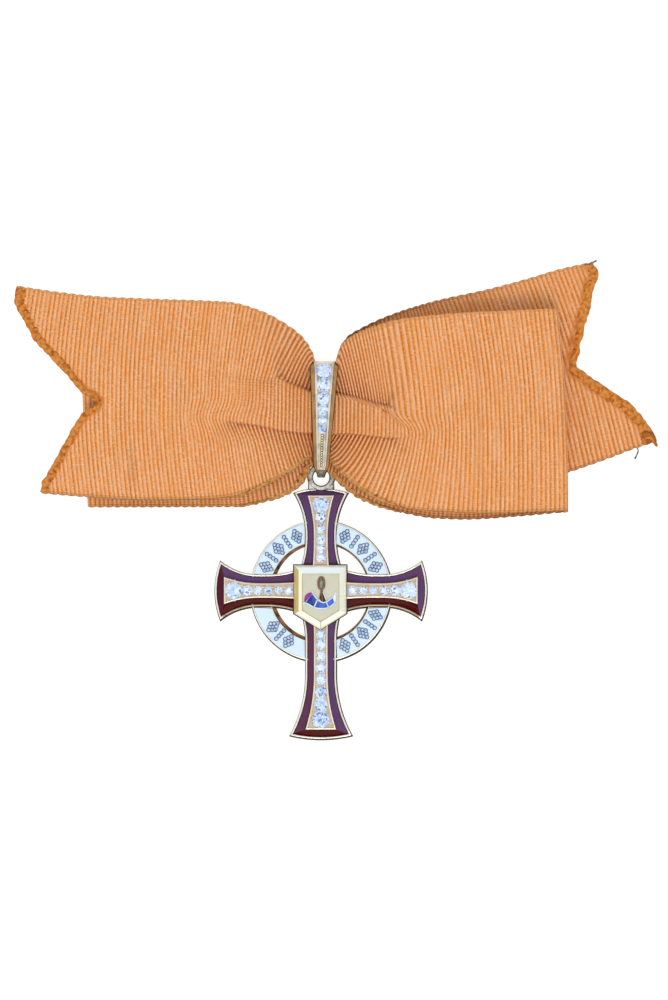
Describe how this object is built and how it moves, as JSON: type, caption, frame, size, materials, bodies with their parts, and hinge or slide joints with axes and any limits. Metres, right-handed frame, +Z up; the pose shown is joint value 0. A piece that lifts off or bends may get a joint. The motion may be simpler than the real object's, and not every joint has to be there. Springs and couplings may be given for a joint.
{
  "type": "honour medal on a ribbon bow",
  "caption": "Enamelled cross with a wheel between its flared arms, set with diamonds, hung from a tapering bail on a ribbed ribbon tied as a bow. Lies flat.",
  "frame": {"origin": "middle of the part's plan, on the flat surface that it lies on", "axes": "+X to the right of the picture, along the bow; +Y up the picture, from the cross to the bow; +Z up from the surface, towards the viewer"},
  "size_m": [0.1158, 0.086, 0.0076],
  "materials": {
    "ribbon": "ribbed silk grosgrain",
    "gold": "polished yellow gold",
    "red_enamel": "translucent dark red fired enamel, polished",
    "white_enamel": "opaque pale fired enamel, polished",
    "diamond": "cut and polished",
    "blue_stone": "polished",
    "red_stone": "polished",
    "pin_steel": "bright wire"
  },
  "bodies": {
    "root": {"ribbon_bow": "ribbon", "bail": "gold", "cross_body": "gold", "shield": "gold", "horn_mouth": "red_stone", "wheel_stones": "diamond", "brooch_pin": "pin_steel", "horn_panel_1": "blue_stone", "horn_panel_2": "blue_stone", "horn_panel_3": "blue_stone", "arm_enamel_top": "red_enamel", "arm_enamel_right": "red_enamel", "arm_enamel_bottom": "red_enamel", "arm_enamel_left": "red_enamel", "wheel_enamel_1": "white_enamel", "wheel_enamel_2": "white_enamel", "wheel_enamel_3": "white_enamel", "wheel_enamel_4": "white_enamel", "stone_top_1": "diamond", "stone_top_2": "diamond", "stone_top_3": "diamond", "stone_top_4": "diamond", "stone_top_5": "diamond", "stone_top_6": "diamond", "stone_right_1": "diamond", "stone_right_2": "diamond", "stone_right_3": "diamond", "stone_right_4": "diamond", "stone_right_5": "diamond", "stone_right_6": "diamond", "stone_bottom_1": "diamond", "stone_bottom_2": "diamond", "stone_bottom_3": "diamond", "stone_bottom_4": "diamond", "stone_bottom_5": "diamond", "stone_bottom_6": "diamond", "stone_bottom_7": "diamond", "stone_bottom_8": "diamond", "stone_left_1": "diamond", "stone_left_2": "diamond", "stone_left_3": "diamond", "stone_left_4": "diamond", "stone_left_5": "diamond", "stone_left_6": "diamond", "bail_stone_1": "diamond", "bail_stone_2": "diamond", "bail_stone_3": "diamond", "bail_stone_4": "diamond", "bail_stone_5": "diamond", "bail_stone_6": "diamond"}
  },
  "joints": []
}
